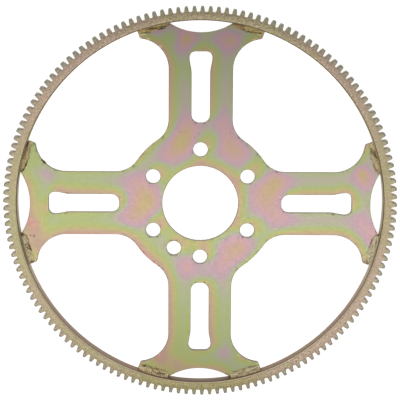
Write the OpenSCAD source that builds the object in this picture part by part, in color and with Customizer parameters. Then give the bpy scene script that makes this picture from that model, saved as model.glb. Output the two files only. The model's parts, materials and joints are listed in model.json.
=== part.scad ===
// Lightweight flexplate: a flat four-armed center plate welded inside a starter ring gear.
// It lies on its back face. +Z is the rotation axis, pointing out of the front face, and the
// origin is the center of the pilot bore on the back face. Lengths are in millimetres.

/* [Ring gear] */
// Number of starter teeth
tooth_count = 153; // [120:1:180]
// Teeth for each inch of pitch diameter
diametral_pitch = 12; // [10:0.5:14]
// Pressure angle of the teeth, in degrees
pressure_angle = 11; // [10:0.5:20]
// Clearance under a mating tooth, as a share of the module
root_clearance = 0.33; // [0.1:0.01:0.4]
// Amount that each tooth is thinned for backlash
backlash = 0.25; // [0:0.05:0.5]
// Angle of the first tooth from the +X axis, in degrees
tooth_phase = 0.2; // [0:0.1:2.3]
// Radial thickness of the rim under the teeth
rim_t = 6.75; // [5:0.25:12]
// Axial width of the ring
ring_w = 12.7; // [9:0.1:15]
// Radial reach of the lead-in chamfer on the front ends of the teeth
lead_in_reach = 1.4; // [0.5:0.1:2.5]
// Axial depth of the lead-in chamfer
lead_in_depth = 1.4; // [0.5:0.1:2.5]
// Chamfer on the other edges of the ring
ring_edge = 0.8; // [0.2:0.1:1.5]

/* [Center plate] */
// Thickness of the plate
plate_t = 4.76; // [3:0.01:6]
// Diameter of the hub
hub_d = 128.2; // [116:0.2:136]
// Diameter of the pilot bore
pilot_d = 63.5; // [40:0.5:70]
// Number of arms
arm_count = 4; // [3:1:5]
// Width of an arm
arm_w = 53.1; // [42:0.1:58]
// Fillet between the hub and an arm
hub_fillet_r = 21.5; // [14:0.5:23]
// Fillet between an arm and a horn
horn_fillet_r = 25; // [20:0.5:30]
// Angle from an arm's axis to the end of its horns
horn_angle = 20.1; // [18:0.1:23]
// Radial height of a horn's end at its sharp corner
horn_h = 6.4; // [5:0.1:10]
// Rounding of a horn's corner
horn_tip_r = 2.5; // [1:0.1:3]
// Depth of the relief between an arm's end and the ring
relief_depth = 9.9; // [6:0.1:13]
// Radius of that relief
relief_r = 49; // [40:1:60]
// Clearance between the horns and the ring
seat_gap = 0.1; // [0.05:0.01:0.3]

/* [Arm slots] */
// Width of a slot
slot_w = 15.2; // [10:0.2:18]
// Width of its flared outer end
slot_end_w = 18.8; // [14:0.2:22]
// Distance from the rotation axis to the inner end
slot_start = 67.8; // [62:0.2:76]
// Metal between the outer end and the relief
slot_web = 15.6; // [10:0.2:22]
// Corner rounding at the inner end
slot_in_r = 6.5; // [2:0.5:8]
// Corner rounding at the outer end
slot_out_r = 5; // [2:0.5:7]
// Length of the flare
flare_len = 13; // [8:0.5:18]

/* [Crank holes] */
// Number of bolt holes
bolt_count = 6; // [4:1:8]
// Diameter of the bolt circle
bolt_circle_d = 90.93; // [88:0.01:98]
// Diameter of a bolt hole
bolt_hole_d = 12.2; // [8:0.1:13]
// Angle of the first bolt hole, in degrees
bolt_first_angle = 30; // [0:5:60]
// Diameter of the circle that the dowel hole is on
dowel_circle_d = 88; // [84:0.5:98]
// Diameter of the dowel hole
dowel_hole_d = 12.2; // [6:0.1:13]
// Number of the bolt gap, counted from the first hole, that the dowel hole is in
dowel_gap = 3; // [0:1:3]

/* [Welds] */
// Width of a bead on the plate
weld_leg = 5.8; // [4:0.1:6.4]
// Height of a bead on the ring's wall
weld_rise = 5.2; // [3:0.1:6.5]
// Distance from a bead's ends to the ends of the horn
weld_inset = 0.6; // [0.2:0.1:2]
// Spacing of the ripples along a bead
ripple_pitch = 2.4; // [1.6:0.1:4]
// Depth of the ripples, as a share of the bead's size
ripple_depth = 0.14; // [0:0.02:0.3]
// Share by which a bead shrinks at its ends
weld_taper = 0.5; // [0.1:0.05:0.7]

/* [Hidden] */

inch = 25.4;
arc_step = 5;        // largest angle between the points of an arc
flank_steps = 2;     // straight pieces in a tooth flank
flare_steps = 8;     // straight pieces in a slot's flare
bulge_steps = 5;     // straight pieces across a bead's face
bulge_power = 1.3;   // 1 gives a round bead face and 2 a flat one
cut = 1;             // reach of a cutting shape past the faces it cuts
$fn = 96;

tooth_module = inch / diametral_pitch;
pitch_r = tooth_count * tooth_module / 2;
tip_r = pitch_r + tooth_module;
root_r = pitch_r - (1 + root_clearance) * tooth_module;
base_r = pitch_r * cos(pressure_angle);
ring_bore_r = root_r - rim_t;

seat_r = ring_bore_r - seat_gap;
hub_r = hub_d / 2;
arm_half = arm_w / 2;
arm_pitch = 360 / arm_count;
first_arm = 90;

// Point at a radius and an angle
function polar(r, a) = [r * cos(a), r * sin(a)];

// Points of an arc around a center, both ends included
function arc(center, r, from, to) =
    let (n = max(2, ceil(abs(to - from) / arc_step)))
    [for (i = [0 : n]) center + polar(r, from + (to - from) * i / n)];

// A list without its first or its last point, or in reverse order
function tail(p) = [for (i = [1 : len(p) - 1]) p[i]];
function head(p) = [for (i = [0 : len(p) - 2]) p[i]];
function reversed(p) = [for (i = [len(p) - 1 : -1 : 0]) p[i]];

// An outline's right half followed by its mirror image
function mirrored(p) = concat(p, [for (q = reversed(p)) [-q.x, q.y]]);

// A point turned about the origin
function turned(p, a) = [p.x * cos(a) - p.y * sin(a), p.x * sin(a) + p.y * cos(a)];

// Ring gear: half of a tooth's angle at a radius, on an involute flank that is radial below the base circle
function involute(a) = tan(a) * 180 / PI - a;
function tooth_half(r) =
    (90 / tooth_count) - (backlash / 2 / pitch_r * 180 / PI)
    + involute(pressure_angle) - involute(acos(base_r / max(r, base_r)));

flank_radii = [for (i = [0 : flank_steps]) root_r + (tip_r - root_r) * i / flank_steps];

function tooth(a) = concat(
    [for (r = flank_radii) polar(r, a - tooth_half(r))],
    [for (r = reversed(flank_radii)) polar(r, a + tooth_half(r))]);

gear_outline = [for (i = [0 : tooth_count - 1]) each tooth(tooth_phase + i * 360 / tooth_count)];

// Turned section of the ring, in radius and height, open past the tooth tips
lead_in_slope = lead_in_depth / lead_in_reach;
ring_section = [
    [ring_bore_r + ring_edge, 0],
    [tip_r - ring_edge, 0],
    [tip_r + cut, ring_edge + cut],
    [tip_r + cut, ring_w - lead_in_depth - cut * lead_in_slope],
    [tip_r - lead_in_reach, ring_w],
    [ring_bore_r + ring_edge, ring_w],
    [ring_bore_r, ring_w - ring_edge],
    [ring_bore_r, ring_edge]];

// Center plate: the arm along +Y, with the fillet that joins it to the hub
hub_fillet_x = arm_half + hub_fillet_r;
hub_fillet_y = sqrt(pow(hub_r + hub_fillet_r, 2) - pow(hub_fillet_x, 2));
hub_fillet_angle = atan2(hub_fillet_y, hub_fillet_x);

// The horn's end runs along a radius. Its corner is rounded, and its inner edge is a fillet to the arm.
horn_dir = [sin(horn_angle), cos(horn_angle)];
horn_side = [-cos(horn_angle), sin(horn_angle)];
horn_corner = (seat_r - horn_h) * horn_dir;
horn_center_x = arm_half + horn_fillet_r;
horn_center = [horn_center_x,
    horn_corner.y - sqrt(pow(horn_fillet_r, 2) - pow(horn_corner.x - horn_center_x, 2))];
tip_along = horn_dir * horn_center;
tip_off = horn_center * horn_center + pow(horn_tip_r, 2)
    - 2 * horn_tip_r * (horn_side * horn_center) - pow(horn_fillet_r + horn_tip_r, 2);
tip_center = (tip_along + sqrt(pow(tip_along, 2) - tip_off)) * horn_dir + horn_tip_r * horn_side;
tip_angle = atan2(tip_center.y - horn_center.y, tip_center.x - horn_center.x);
horn_reach = (seat_r + cut) / cos(horn_angle);

arm_right_side = concat(
    arc([hub_fillet_x, hub_fillet_y], hub_fillet_r, hub_fillet_angle + 180, 180),
    arc(horn_center, horn_fillet_r, 180, tip_angle),
    tail(arc(tip_center, horn_tip_r, tip_angle - 180, -horn_angle)),
    [horn_reach * horn_dir]);

hub_edge = head(tail(arc([0, 0], hub_r, 180 - hub_fillet_angle, arm_pitch + hub_fillet_angle)));

arm_outline = concat(mirrored(arm_right_side), hub_edge);
spider_outline = [for (k = [0 : arm_count - 1]) for (p = arm_outline) turned(p, k * arm_pitch)];

// The relief's center on the arm's axis, and the angle at which it meets the seat
relief_center = seat_r - relief_depth + relief_r;
relief_angle = acos((pow(seat_r, 2) + pow(relief_center, 2) - pow(relief_r, 2))
    / (2 * seat_r * relief_center));

// Arm slot: rounded inner end, straight sides, a smooth flare and a rounded outer end
slot_end = seat_r - relief_depth - slot_web;
slot_in_corner = min(slot_in_r, slot_w / 2 - cut);
slot_out_corner = min(slot_out_r, slot_end_w / 2 - cut);
flare_end = slot_end - slot_out_corner;
flare_growth = (slot_end_w - slot_w) / 2;

slot_outline = mirrored(concat(
    arc([slot_w / 2 - slot_in_corner, slot_start + slot_in_corner], slot_in_corner, -90, 0),
    [for (i = [0 : flare_steps - 1])
        [slot_w / 2 + flare_growth * (1 - cos(180 * i / flare_steps)) / 2,
        flare_end - flare_len * (1 - i / flare_steps)]],
    arc([slot_end_w / 2 - slot_out_corner, flare_end], slot_out_corner, 0, 90)));

// Weld bead: a rippled fillet swept along the ring's wall, from the relief to the horn's end
weld_height = min(weld_rise, ring_w - ring_edge - plate_t);
inset_angle = weld_inset / ring_bore_r * 180 / PI;
weld_from = relief_angle + inset_angle;
weld_to = horn_angle - inset_angle;
ripple_count = max(2, round((weld_to - weld_from) * PI / 180 * ring_bore_r / ripple_pitch));
section_count = 2 * ripple_count + 1;

// Size of a bead at a share of its length: full in the middle, smaller at the ends, low between ripples
function bead_scale(i) =
    let (share = i / (section_count - 1))
    (1 - weld_taper * pow(abs(2 * share - 1), 4)) * (1 - ripple_depth * (i % 2 == 0 ? 1 : 0));

// One section of a bead, from the corner up the wall and over the bulging face to the plate
function bead_section(i) =
    let (size = bead_scale(i), a = weld_from + (weld_to - weld_from) * i / (section_count - 1))
    concat(
        [[ring_bore_r * cos(a), ring_bore_r * sin(a), plate_t]],
        [for (k = [0 : bulge_steps])
            let (
                r = ring_bore_r - weld_leg * size * pow(sin(90 * k / bulge_steps), bulge_power),
                z = plate_t + weld_height * size * pow(cos(90 * k / bulge_steps), bulge_power))
            [r * cos(a), r * sin(a), z]]);

bead_points = [for (i = [0 : section_count - 1]) each bead_section(i)];
section_size = bulge_steps + 2;
bead_faces = concat(
    [[for (k = [section_size - 1 : -1 : 0]) k]],
    [for (i = [0 : section_count - 2]) for (k = [0 : section_size - 1])
        let (
            near = i * section_size,
            next = (k + 1) % section_size)
        [near + k, near + next, near + section_size + next, near + section_size + k]],
    [[for (k = [0 : section_size - 1]) (section_count - 1) * section_size + k]]);

module hole(d, circle_r, angle) {
    rotate(angle)
        translate([circle_r, 0, -cut])
            cylinder(d = d, h = plate_t + 2 * cut);
}

module on_each_arm() {
    for (k = [0 : arm_count - 1])
        rotate(k * arm_pitch)
            children();
}

module center_plate() {
    color([0.70, 0.68, 0.55])
        difference() {
            intersection() {
                linear_extrude(plate_t) polygon(spider_outline);
                cylinder(r = seat_r, h = plate_t);
            }
            hole(pilot_d, 0, 0);
            for (i = [0 : bolt_count - 1])
                hole(bolt_hole_d, bolt_circle_d / 2, bolt_first_angle + i * 360 / bolt_count);
            hole(dowel_hole_d, dowel_circle_d / 2, bolt_first_angle + (dowel_gap + 0.5) * 360 / bolt_count);
            on_each_arm()
                translate([0, 0, -cut])
                    linear_extrude(plate_t + 2 * cut) polygon(slot_outline);
            on_each_arm()
                translate([0, relief_center, -cut])
                    cylinder(r = relief_r, h = plate_t + 2 * cut);
        }
}

module ring_gear() {
    color([0.68, 0.62, 0.48])
        intersection() {
            linear_extrude(ring_w) polygon(gear_outline);
            rotate_extrude() polygon(ring_section);
        }
}

// Odd beads lie on the counterclockwise side of their arm, even ones are their mirror images
module weld_bead(number) {
    color([0.55, 0.47, 0.32])
        rotate(first_arm + floor((number - 1) / 2) * arm_pitch)
            mirror([0, number % 2 == 1 ? 0 : 1, 0])
                polyhedron(bead_points, bead_faces);
}

center_plate();
ring_gear();
for (i = [1 : 2 * arm_count])
    weld_bead(i);
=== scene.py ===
"""Looks of a lightweight flexplate: a yellow-plated center plate welded into a starter ring gear."""

import json
import logging
import math
from contextlib import contextmanager
from dataclasses import dataclass, field
from enum import Enum
from typing import Callable, Iterator

import bpy
import numpy as np
from bpy.types import Material, MeshPolygon, Node, NodeOutputs, NodeSocket, NodeTree, Object
from mathutils import Matrix, Vector

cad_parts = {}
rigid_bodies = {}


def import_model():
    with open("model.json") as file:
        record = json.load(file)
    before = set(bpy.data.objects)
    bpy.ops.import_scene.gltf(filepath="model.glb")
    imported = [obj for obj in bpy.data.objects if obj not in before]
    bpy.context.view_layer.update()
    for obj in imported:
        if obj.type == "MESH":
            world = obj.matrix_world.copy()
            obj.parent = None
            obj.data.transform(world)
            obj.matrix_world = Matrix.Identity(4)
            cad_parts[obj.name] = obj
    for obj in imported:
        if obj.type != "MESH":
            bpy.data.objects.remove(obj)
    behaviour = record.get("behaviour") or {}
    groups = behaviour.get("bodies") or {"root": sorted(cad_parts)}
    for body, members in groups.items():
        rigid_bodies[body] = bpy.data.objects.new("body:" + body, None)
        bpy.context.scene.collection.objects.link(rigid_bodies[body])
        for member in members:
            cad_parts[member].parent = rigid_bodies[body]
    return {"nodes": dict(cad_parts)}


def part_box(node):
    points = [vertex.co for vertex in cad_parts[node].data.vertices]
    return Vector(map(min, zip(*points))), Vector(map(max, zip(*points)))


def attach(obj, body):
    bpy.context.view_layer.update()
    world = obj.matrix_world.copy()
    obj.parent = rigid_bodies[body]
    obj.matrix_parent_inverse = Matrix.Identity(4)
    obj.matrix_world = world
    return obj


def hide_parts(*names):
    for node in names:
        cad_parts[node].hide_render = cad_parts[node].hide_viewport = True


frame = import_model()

LOG = logging.getLogger("flexplate")
BODY = "root"
MM = 0.001
Pair = tuple[float, float]
Triple = tuple[float, float, float]
Colour = tuple[float, float, float, float]
Spots = tuple[Triple, ...]
Feed = NodeSocket | tuple[float, ...] | float
FaceTest = Callable[[MeshPolygon], bool]
EdgeTest = Callable[[Vector, Vector], bool]

# Ranges that hold most and nearly all values of a noise
MOST: Pair = (0.3, 0.7)
NEARLY_ALL: Pair = (0.2, 0.8)


def srgb(red: int, green: int, blue: int) -> Colour:
    """Turn a given colour into a shader colour.

    Args:
        red: Red channel, 0 to 255.
        green: Green channel, 0 to 255.
        blue: Blue channel, 0 to 255.

    Returns:
        The linear colour with full alpha.
    """
    def linear(channel: int) -> float:
        """Undo the display curve of one channel."""
        value = channel / 255
        return value / 12.92 if value <= 0.04045 else ((value + 0.055) / 1.055) ** 2.4

    return (linear(red), linear(green), linear(blue), 1.0)


class Slot(Enum):
    """Material slots of the record."""

    PLATE = "plate_steel"
    RING = "ring_steel"
    WELD = "weld_metal"


class StainAndPaintedLight(Enum):
    """Colours laid on a weld bead in streaks: its own discolouring, painted shade (DARK) and painted
    highlights (PALE_AND_HIGHLIGHT).
    """

    # Dark: the bead's own dark discolouring, and also painted shade at its ends, in its grooves and along
    # the ring's wall
    DARK = "dark"
    RUST = "rust"
    # Pale: pale metal, and also painted highlights and washes that lighten whole beads as painted light
    PALE_AND_HIGHLIGHT = "pale"
    OLIVE = "olive"


# Handling of objects and edit mode


def deselect() -> None:
    """Deselect every object, the loaded nodes too."""
    for obj in bpy.context.view_layer.objects:
        obj.select_set(False)


def take(obj: Object) -> None:
    """Make an object the only selected and the active one.

    Args:
        obj: The object.
    """
    deselect()
    obj.select_set(True)
    bpy.context.view_layer.objects.active = obj


@contextmanager
def edit_mode(obj: Object, select: str = "VERT") -> Iterator[None]:
    """Work on one object in edit mode, with all of its mesh selected at first.

    Args:
        obj: The object to edit.
        select: Selection mode, VERT, EDGE or FACE.

    Yields:
        Nothing; the object is back in object mode afterwards.
    """
    take(obj)
    bpy.ops.object.mode_set(mode="EDIT")
    bpy.ops.mesh.select_mode(type=select)
    bpy.ops.mesh.select_all(action="SELECT")
    yield
    bpy.ops.object.mode_set(mode="OBJECT")


@contextmanager
def new_selection(kind: str) -> Iterator[None]:
    """Leave edit mode for a moment to choose what is selected.

    Args:
        kind: What is chosen, EDGE or FACE.

    Yields:
        Nothing; the object is back in edit mode afterwards.
    """
    bpy.ops.mesh.select_mode(type=kind)
    bpy.ops.mesh.select_all(action="DESELECT")
    bpy.ops.object.mode_set(mode="OBJECT")
    yield
    bpy.ops.object.mode_set(mode="EDIT")


def pick_faces(obj: Object, wanted: FaceTest) -> None:
    """Select the faces of an object in edit mode that pass a test.

    Args:
        obj: The object.
        wanted: Takes a face and says whether to select it.
    """
    with new_selection("FACE"):
        for face in obj.data.polygons:
            face.select = bool(wanted(face))


def pick_edges(obj: Object, wanted: EdgeTest) -> None:
    """Select the edges of an object in edit mode that pass a test.

    Args:
        obj: The object.
        wanted: Takes the places of an edge's two ends and says whether to select it.
    """
    with new_selection("EDGE"):
        for edge in obj.data.edges:
            first, second = (obj.data.vertices[index].co for index in edge.vertices)
            edge.select = bool(wanted(first, second))


def read(items: bpy.types.bpy_prop_collection, name: str, width: int, kind: type = float) -> np.ndarray:
    """Read one property of all vertices, edges or faces of a mesh.

    Args:
        items: The vertices, edges or faces.
        name: Name of the property.
        width: How many numbers each of them has.
        kind: Type of the numbers.

    Returns:
        One row for each item.
    """
    flat = np.empty(len(items) * width, dtype=kind)
    items.foreach_get(name, flat)
    return flat.reshape(-1, width)


def points(obj: Object) -> np.ndarray:
    """Return the vertex places of a mesh object, one row each."""
    return read(obj.data.vertices, "co", 3)


def set_points(obj: Object, places: np.ndarray) -> None:
    """Move the vertices of a mesh object to the given places."""
    obj.data.vertices.foreach_set("co", places.astype(np.float32).ravel())
    obj.data.update()


def store(obj: Object, name: str, values: np.ndarray) -> None:
    """Keep one number for each vertex in a named attribute that the materials read."""
    attribute = obj.data.attributes.new(name, "FLOAT", "POINT")
    attribute.data.foreach_set("value", values.astype(np.float32))


def merged_copy(node: str, name: str) -> Object:
    """Copy a node's mesh into a new object with its loose triangles merged.

    Args:
        node: Name of the node.
        name: Name of the new object.

    Returns:
        The new object, in the scene.
    """
    obj = bpy.data.objects.new(name, frame["nodes"][node].data.copy())
    bpy.context.scene.collection.objects.link(obj)
    with edit_mode(obj):
        bpy.ops.mesh.remove_doubles(threshold=0.002 * MM)
        bpy.ops.mesh.dissolve_limited(angle_limit=math.radians(0.3))
    return obj


def round_edges(obj: Object, width: float, sharpness: float) -> None:
    """Bevel the sharp edges of a mesh as deburring leaves them.

    Args:
        obj: The mesh object.
        width: Width of the rounding, in metres.
        sharpness: Smallest angle between two faces that counts as sharp, in degrees.
    """
    with edit_mode(obj, "EDGE"):
        bpy.ops.mesh.select_all(action="DESELECT")
        bpy.ops.mesh.edges_select_sharp(sharpness=math.radians(sharpness))
        bpy.ops.mesh.bevel(offset_type="OFFSET", offset=width, segments=2, profile=0.5,
                           affect="EDGES", clamp_overlap=True)


def smooth_shading(obj: Object, angle: float) -> None:
    """Shade smooth where faces meet at less than an angle in degrees."""
    take(obj)
    bpy.ops.object.shade_smooth_by_angle(angle=math.radians(angle))


def enlist(obj: Object, node: str, material: Material) -> None:
    """Give a finished piece its material and let it stand for its node, on the one body of the part.

    Args:
        obj: The finished piece.
        node: The node that it replaces.
        material: Its finish.
    """
    obj.data.materials.clear()
    obj.data.materials.append(material)
    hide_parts(node)
    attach(obj, BODY)


# Node sheets and shared effects


class Sheet:
    """A node tree with short calls for the nodes that the finishes use."""

    def __init__(self, tree: NodeTree) -> None:
        """Start on an emptied tree."""
        self.tree = tree
        tree.nodes.clear()

    def add(self, kind: str, **settings: object) -> Node:
        """Add a node.

        Args:
            kind: The node's type.
            **settings: Properties of the node by name.

        Returns:
            The new node.
        """
        node = self.tree.nodes.new(kind)
        for name, value in settings.items():
            setattr(node, name, value)
        return node

    def put(self, socket: NodeSocket, value: Feed) -> None:
        """Feed an input.

        Args:
            socket: The input.
            value: The socket that it is linked to, or the plain value that it is set to.
        """
        if isinstance(value, NodeSocket):
            self.tree.links.new(value, socket)
        else:
            socket.default_value = value

    def feed(self, node: Node, values: dict[str, Feed]) -> None:
        """Feed several inputs of a node by name."""
        for name, value in values.items():
            self.put(node.inputs[name], value)

    def math(self, operation: str, *values: Feed, clamp: bool = False) -> NodeSocket:
        """Combine numbers.

        Args:
            operation: Name of the operation.
            *values: The numbers that it takes, in order.
            clamp: Whether the result is kept within 0 to 1.

        Returns:
            The result's socket.
        """
        node = self.add("ShaderNodeMath", operation=operation, use_clamp=clamp)
        for socket, value in zip(node.inputs, values):
            self.put(socket, value)
        return node.outputs[0]

    def ease(self, value: Feed, low: float, high: float, start: float = 0.0, end: float = 1.0) -> NodeSocket:
        """Map a value smoothly from one range onto another.

        Args:
            value: The value.
            low: Where the first range begins.
            high: Where it ends.
            start: Result up to the beginning.
            end: Result from the end on.

        Returns:
            The result's socket.
        """
        node = self.add("ShaderNodeMapRange", interpolation_type="SMOOTHSTEP")
        for socket, number in zip(node.inputs, (value, low, high, start, end)):
            self.put(socket, number)
        return node.outputs[0]

    def wave(self, angle: NodeSocket, times: float = 1.0, top: float = 0.0) -> NodeSocket:
        """Return the socket of a wave that goes up a number of times in a turn, once at the top angle."""
        turned = self.math("SUBTRACT", angle, top)
        return self.math("COSINE", self.math("MULTIPLY", turned, times))

    def mix(self, share: Feed, first: Feed, second: Feed, blend: str = "MIX") -> NodeSocket:
        """Mix two colours.

        Args:
            share: How much of the second one shows, 0 to 1.
            first: The first colour.
            second: The second colour.
            blend: Way of mixing.

        Returns:
            The result's socket.
        """
        node = self.add("ShaderNodeMix", data_type="RGBA", blend_type=blend)
        for index, value in ((0, share), (6, first), (7, second)):
            self.put(node.inputs[index], value)
        return node.outputs[2]

    def noise(self, vector: NodeSocket, scale: Feed, detail: float = 2.0,
              roughness: float = 0.5) -> NodeSocket:
        """Add a noise pattern.

        Args:
            vector: The place's socket.
            scale: How many times it changes in a metre.
            detail: How many finer layers it has.
            roughness: How strong the finer layers are.

        Returns:
            The socket of its value.
        """
        node = self.add("ShaderNodeTexNoise")
        self.feed(node, {"Vector": vector, "Scale": scale, "Detail": detail, "Roughness": roughness})
        return node.outputs[0]

    def ramp(self, value: Feed, stops: tuple[tuple[float, Colour], ...]) -> NodeSocket:
        """Turn a value into a colour.

        Args:
            value: The value, 0 to 1.
            stops: Values in rising order with their colours.

        Returns:
            The colour's socket.
        """
        node = self.add("ShaderNodeValToRGB")
        elements = node.color_ramp.elements
        while len(elements) < len(stops):
            elements.new(1.0)
        for element, (position, colour) in zip(elements, stops):
            element.position = position
            element.color = colour
        self.put(node.inputs[0], value)
        return node.outputs[0]

    def away(self, vector: NodeSocket, x: float = 0.0, y: float = 0.0) -> NodeSocket:
        """Measure the distance from an upright line.

        Args:
            vector: The place's socket.
            x: The line's place across.
            y: The line's place along.

        Returns:
            The distance's socket.
        """
        level = self.add("ShaderNodeVectorMath", operation="MULTIPLY")
        self.put(level.inputs[0], vector)
        self.put(level.inputs[1], (1.0, 1.0, 0.0))
        node = self.add("ShaderNodeVectorMath", operation="DISTANCE")
        self.put(node.inputs[0], level.outputs[0])
        self.put(node.inputs[1], (x, y, 0.0))
        return node.outputs["Value"]

    def dots(self, vector: NodeSocket, colour: NodeSocket, spots: Spots, tint: Colour,
             strength: float) -> NodeSocket:
        """Paint small round spots over a colour.

        Args:
            vector: The place's socket.
            colour: The colour's socket.
            spots: Each spot's place across and along and its radius, in millimetres.
            tint: The spots' colour.
            strength: How much of it covers, 0 to 1.

        Returns:
            The colour's socket with the spots.
        """
        for x, y, size in spots:
            away = self.away(vector, x * MM, y * MM)
            share = self.ease(away, 0.4 * size * MM, 1.2 * size * MM, strength, 0.0)
            colour = self.mix(share, colour, tint)
        return colour

    def bump(self, height: NodeSocket, strength: float, depth: float) -> NodeSocket:
        """Turn a height into a direction of the surface.

        Args:
            height: The height's socket.
            strength: How much of it shows, 0 to 1.
            depth: Depth of the relief, in metres.

        Returns:
            The direction's socket.
        """
        node = self.add("ShaderNodeBump")
        self.feed(node, {"Height": height, "Strength": strength, "Distance": depth})
        return node.outputs[0]

    def attribute(self, name: str) -> NodeSocket:
        """Read a number that the mesh keeps for each vertex."""
        return self.add("ShaderNodeAttribute", attribute_name=name).outputs["Fac"]

    def place(self) -> NodeSocket:
        """Return the object coordinates' socket."""
        return self.add("ShaderNodeTexCoord").outputs["Object"]

    def normal(self) -> NodeSocket:
        """Return the socket of the surface's direction."""
        return self.add("ShaderNodeNewGeometry").outputs["Normal"]

    def parts(self, vector: NodeSocket) -> tuple[NodeSocket, ...]:
        """Split a vector.

        Args:
            vector: The vector's socket.

        Returns:
            The sockets of its three parts.
        """
        node = self.add("ShaderNodeSeparateXYZ")
        self.put(node.inputs[0], vector)
        return tuple(node.outputs)

    def use(self, effect: "SharedEffect", **values: Feed) -> dict[str, NodeSocket]:
        """Place a shared effect.

        Args:
            effect: The effect.
            **values: Its inputs by name.

        Returns:
            The sockets of its outputs by name.
        """
        node = self.add("ShaderNodeGroup", node_tree=effect.group)
        self.feed(node, values)
        return dict(node.outputs.items())


class SharedEffect:
    """Base of the effects that several finishes place: a shader node group built once."""

    title = ""
    takes: tuple[tuple[str, str], ...] = ()
    gives: tuple[tuple[str, str], ...] = ()

    def __init__(self) -> None:
        """Make the group with its named sockets and wire it."""
        self.group = bpy.data.node_groups.new(self.title, "ShaderNodeTree")
        sheet = Sheet(self.group)
        for in_out, sockets in (("INPUT", self.takes), ("OUTPUT", self.gives)):
            for name, kind in sockets:
                self.group.interface.new_socket(name=name, in_out=in_out, socket_type=f"NodeSocket{kind}")
        inputs = sheet.add("NodeGroupInput").outputs
        sheet.feed(sheet.add("NodeGroupOutput"), self.wire(sheet, inputs))

    def wire(self, sheet: Sheet, inputs: NodeOutputs) -> dict[str, Feed]:
        """Wire the group.

        Args:
            sheet: The group's sheet.
            inputs: The sockets of its inputs.

        Returns:
            The socket of each output by name.
        """
        raise NotImplementedError


class FilmColour(SharedEffect):
    """Colour of the clear plating film, which changes with its thickness as an oil film does."""

    title = "film colour"
    takes = (("Film", "Float"),)
    gives = (("Color", "Color"),)
    thickest = 1.1
    stops = (
        (0.18, srgb(212, 162, 148)),
        (0.27, srgb(197, 168, 146)),
        (0.36, srgb(200, 174, 144)),
        (0.45, srgb(200, 180, 137)),
        (0.54, srgb(195, 186, 129)),
        (0.60, srgb(186, 190, 121)),
        (0.66, srgb(182, 191, 129)),
        (0.70, srgb(181, 190, 137)),
        (0.74, srgb(182, 188, 147)),
        (0.77, srgb(186, 184, 156)),
        (0.80, srgb(190, 181, 163)),
        (0.83, srgb(194, 173, 173)),
        (0.87, srgb(202, 168, 178)),
        (0.91, srgb(209, 169, 172)),
        (0.95, srgb(208, 172, 160)),
        (0.98, srgb(205, 176, 146)),
        (1.02, srgb(203, 181, 134)),
        (1.08, srgb(196, 186, 126)),
    )

    def wire(self, sheet: Sheet, inputs: NodeOutputs) -> dict[str, Feed]:
        """Read the film's colour off one ramp that ends at the thickest film.

        Args:
            sheet: The group's sheet.
            inputs: The film's thickness.

        Returns:
            The colour.
        """
        share = sheet.math("DIVIDE", inputs["Film"], self.thickest)
        stops = tuple((film / self.thickest, colour) for film, colour in self.stops)
        return {"Color": sheet.ramp(share, stops)}


class CutEdges(SharedEffect):
    """Masks of the cut walls and of the worn edges of a flat piece, by the surface's direction."""

    title = "cut edges"
    takes = (("Normal", "Vector"),)
    gives = (("Wall", "Float"), ("Edge", "Float"))
    wall_lean = (0.25, 0.55)
    edge_lean = (0.90, 0.995)

    def wire(self, sheet: Sheet, inputs: NodeOutputs) -> dict[str, Feed]:
        """Take walls where the surface stands upright and edges where it leans.

        Args:
            sheet: The group's sheet.
            inputs: The surface's direction.

        Returns:
            The two masks.
        """
        lean = sheet.math("ABSOLUTE", sheet.parts(inputs["Normal"])[2])
        return {"Wall": sheet.ease(lean, *self.wall_lean, 1.0, 0.0),
                "Edge": sheet.ease(lean, *self.edge_lean, 1.0, 0.0)}


class SteelGrain(SharedEffect):
    """Fine mottling and specks of plated steel, on the piece's own coordinates."""

    title = "steel grain"
    takes = (("Vector", "Vector"), ("Scale", "Float"))
    gives = (("Mottle", "Float"), ("Specks", "Float"), ("Height", "Float"))
    finer = 4.0
    fine_height = 0.5
    speck_edge = (0.66, 0.74)

    def wire(self, sheet: Sheet, inputs: NodeOutputs) -> dict[str, Feed]:
        """Use one coarse, one fine and one sparse noise.

        Args:
            sheet: The group's sheet.
            inputs: The place and the scale of the coarse noise.

        Returns:
            The mottling, the specks and the relief of both.
        """
        mottle = sheet.noise(inputs["Vector"], inputs["Scale"], 3.0, 0.6)
        fine_scale = sheet.math("MULTIPLY", inputs["Scale"], self.finer)
        fine = sheet.noise(inputs["Vector"], fine_scale, 2.0, 0.6)
        return {"Mottle": mottle, "Specks": sheet.ease(fine, *self.speck_edge),
                "Height": sheet.math("MULTIPLY_ADD", fine, self.fine_height, mottle)}


@dataclass(frozen=True)
class Effects:
    """The shared effects, each built once."""

    film: SharedEffect = field(default_factory=FilmColour)
    edges: SharedEffect = field(default_factory=CutEdges)
    grain: SharedEffect = field(default_factory=SteelGrain)


# Finishes


def new_material(name: str) -> tuple[Material, Sheet, Node]:
    """Make an empty node material.

    Args:
        name: Name of the material.

    Returns:
        The material, its sheet and its shader node.
    """
    material = bpy.data.materials.new(name)
    material.use_nodes = True
    sheet = Sheet(material.node_tree)
    shader = sheet.add("ShaderNodeBsdfPrincipled")
    output = sheet.add("ShaderNodeOutputMaterial")
    sheet.put(output.inputs["Surface"], shader.outputs[0])
    return material, sheet, shader


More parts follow.
